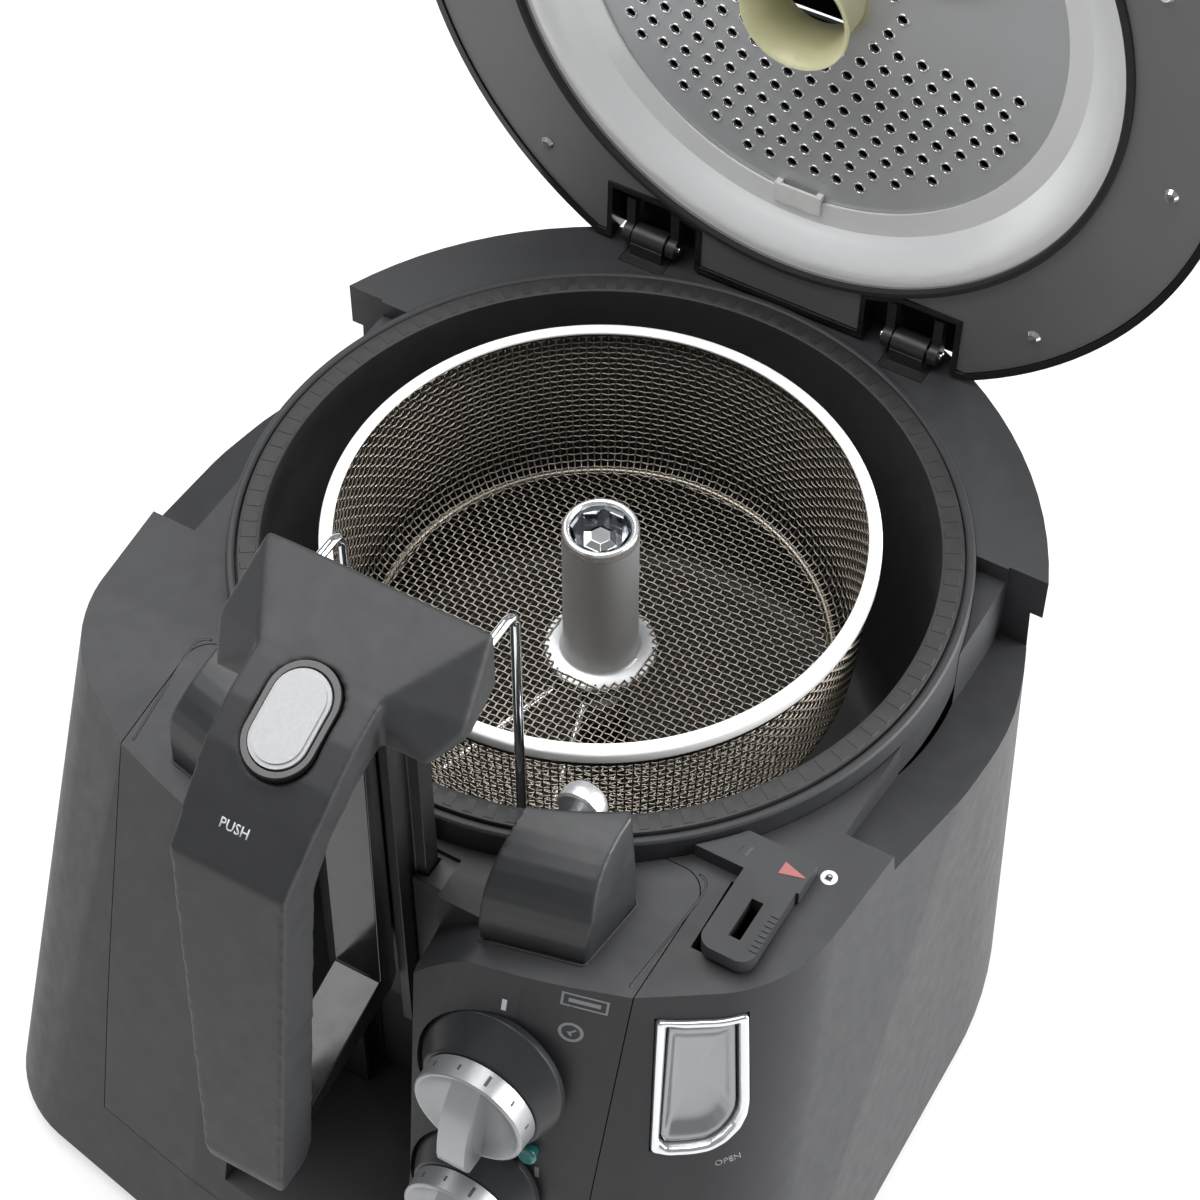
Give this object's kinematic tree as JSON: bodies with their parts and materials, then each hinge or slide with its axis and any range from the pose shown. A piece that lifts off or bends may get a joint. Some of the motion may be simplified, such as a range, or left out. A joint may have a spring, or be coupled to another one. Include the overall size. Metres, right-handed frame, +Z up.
{
  "type": "deep fryer",
  "caption": "Rotating-basket deep fryer with hinged filter lid, lifting handle and wire bail, non-stick bowl, thermostat and timer dials",
  "frame": {"origin": "middle of the bounding box, on the table under the feet", "axes": "+X right as seen from the control side, +Y towards the lid hinge, +Z up"},
  "size_m": [0.306, 0.391, 0.4664],
  "materials": {
    "base_plate": "matte",
    "feet": "matte",
    "housing": "satin",
    "control_panel": "satin",
    "hump_covers": "satin",
    "well_ring": "textured",
    "bowl": "non-stick coating",
    "bowl_chimney": "non-stick coating",
    "heater_plate": "brushed",
    "heating_element": "oxidised",
    "thermostat": "matte",
    "thermal_fuse": "matte",
    "timer_unit": "matte",
    "motor": "satin",
    "motor_bracket": "satin",
    "pinion": "matte",
    "drive_gear": "matte",
    "drive_shaft": "polished",
    "drive_bushing": "satin",
    "shaft_seal": "matte",
    "terminal_block": "matte",
    "wiring": "matte",
    "cord_gland": "matte",
    "rear_vent": "matte",
    "hinge_brackets": "satin",
    "guide_rails": "satin",
    "latch_slide": "polished",
    "button_frame": "satin",
    "open_button": "satin",
    "bowl_slider": "textured",
    "knob_bezels": "satin",
    "knob": "satin",
    "timer_dial": "satin",
    "indicator_lens": "translucent",
    "base_screws": "zinc",
    "lid_shell": "satin",
    "lid_liner": "satin",
    "lid_ring": "satin",
    "lid_seal": "matte",
    "filter_plate": "brushed",
    "filter_pack": "foam",
    "filter_clip": "satin",
    "funnel": "translucent silicone",
    "lid_window": "clear",
    "window_frame": "polished",
    "lid_studs": "polished",
    "hinge_ears": "satin",
    "hinge_pins": "polished",
    "handle": "satin",
    "handle_strut": "gloss",
    "handle_post": "satin",
    "handle_bezel": "gloss",
    "push_button": "satin",
    "button_spring": "spring steel",
    "bail": "polished",
    "basket_rim": "polished",
    "basket_cup": "woven wire",
    "basket_hub": "satin",
    "hub_cap": "polished",
    "hub_nut": "polished"
  },
  "bodies": {
    "base": {"base_plate": "base_plate", "feet": "feet", "housing": "housing", "control_panel": "control_panel", "hump_covers": "hump_covers", "well_ring": "well_ring", "bowl": "bowl", "bowl_chimney": "bowl_chimney", "heater_plate": "heater_plate", "heating_element": "heating_element", "thermostat": "thermostat", "thermal_fuse": "thermal_fuse", "timer_unit": "timer_unit", "motor": "motor", "motor_bracket": "motor_bracket", "drive_bushing": "drive_bushing", "shaft_seal": "shaft_seal", "terminal_block": "terminal_block", "wiring": "wiring", "cord_gland": "cord_gland", "rear_vent": "rear_vent", "hinge_brackets": "hinge_brackets", "guide_rails": "guide_rails", "button_frame": "button_frame", "knob_bezels": "knob_bezels", "indicator_lens": "indicator_lens", "base_screws": "base_screws"},
    "lid": {"lid_shell": "lid_shell", "lid_liner": "lid_liner", "lid_ring": "lid_ring", "lid_seal": "lid_seal", "filter_plate": "filter_plate", "filter_pack": "filter_pack", "filter_clip": "filter_clip", "funnel": "funnel", "lid_window": "lid_window", "window_frame": "window_frame", "lid_studs": "lid_studs", "hinge_ears": "hinge_ears", "hinge_pins": "hinge_pins"},
    "lifting_frame": {"handle": "handle", "handle_strut": "handle_strut", "handle_post": "handle_post", "handle_bezel": "handle_bezel", "button_spring": "button_spring", "bail": "bail"},
    "handle_button": {"push_button": "push_button"},
    "basket": {"basket_rim": "basket_rim", "basket_cup": "basket_cup", "basket_hub": "basket_hub", "hub_cap": "hub_cap", "hub_nut": "hub_nut"},
    "drive": {"drive_gear": "drive_gear", "drive_shaft": "drive_shaft"},
    "pinion_gear": {"pinion": "pinion"},
    "latch": {"latch_slide": "latch_slide"},
    "release": {"open_button": "open_button"},
    "bowl_lock": {"bowl_slider": "bowl_slider"},
    "thermostat_knob": {"knob": "knob"},
    "timer_knob": {"timer_dial": "timer_dial"}
  },
  "joints": [
    {"name": "lid_hinge", "type": "hinge", "parent": "base", "child": "lid", "pos_m": [0, 0.1521, 0.219], "axis": [-1, 0, 0], "range_deg": [-92, 0]},
    {"name": "basket_lift", "type": "slide", "parent": "base", "child": "lifting_frame", "axis": [0, 0, 1], "range_m": [-0.068, 0.09]},
    {"name": "basket_spin", "type": "hinge", "parent": "lifting_frame", "child": "basket", "pos_m": [0, 0.0261, 0.155], "axis": [0, 0, 1], "continuous": true},
    {"name": "drive_spin", "type": "hinge", "parent": "base", "child": "drive", "pos_m": [0, 0.0261, 0.05], "axis": [0, 0, 1], "continuous": true},
    {"name": "pinion_spin", "type": "hinge", "parent": "base", "child": "pinion_gear", "pos_m": [0.0432, 0.0261, 0.05], "axis": [0, 0, 1], "continuous": true},
    {"name": "handle_button_press", "type": "slide", "parent": "lifting_frame", "child": "handle_button", "axis": [0, 0.3827, -0.9239], "range_m": [0, 0.002], "stiffness_N_per_m": 600, "springref_m": -0.001, "deforming": ["button_spring"]},
    {"name": "lid_release_press", "type": "slide", "parent": "base", "child": "release", "axis": [-0.6917, 0.6917, -0.2079], "range_m": [-0.002, 0.0015], "stiffness_N_per_m": 600},
    {"name": "latch_draw", "type": "slide", "parent": "base", "child": "latch", "axis": [0, 1, 0], "range_m": [-0.003, 0.004]},
    {"name": "bowl_lock_slide", "type": "slide", "parent": "base", "child": "bowl_lock", "axis": [1, 0, 0], "range_m": [0, 0.006]},
    {"name": "thermostat_turn", "type": "hinge", "parent": "base", "child": "thermostat_knob", "pos_m": [0.057, -0.14626, 0.155], "axis": [0, -0.9986, 0.0523], "range_deg": [-270, 0]},
    {"name": "timer_turn", "type": "hinge", "parent": "base", "child": "timer_knob", "pos_m": [0.057, -0.15836, 0.105], "axis": [0, -0.9986, 0.0523], "range_deg": [-300, 0]}
  ],
  "couplings": [
    {"joint": "drive_spin", "follows": "basket_spin", "ratio": 1},
    {"joint": "pinion_spin", "follows": "basket_spin", "ratio": -3},
    {"joint": "latch_draw", "follows": "lid_release_press", "ratio": -2}
  ]
}
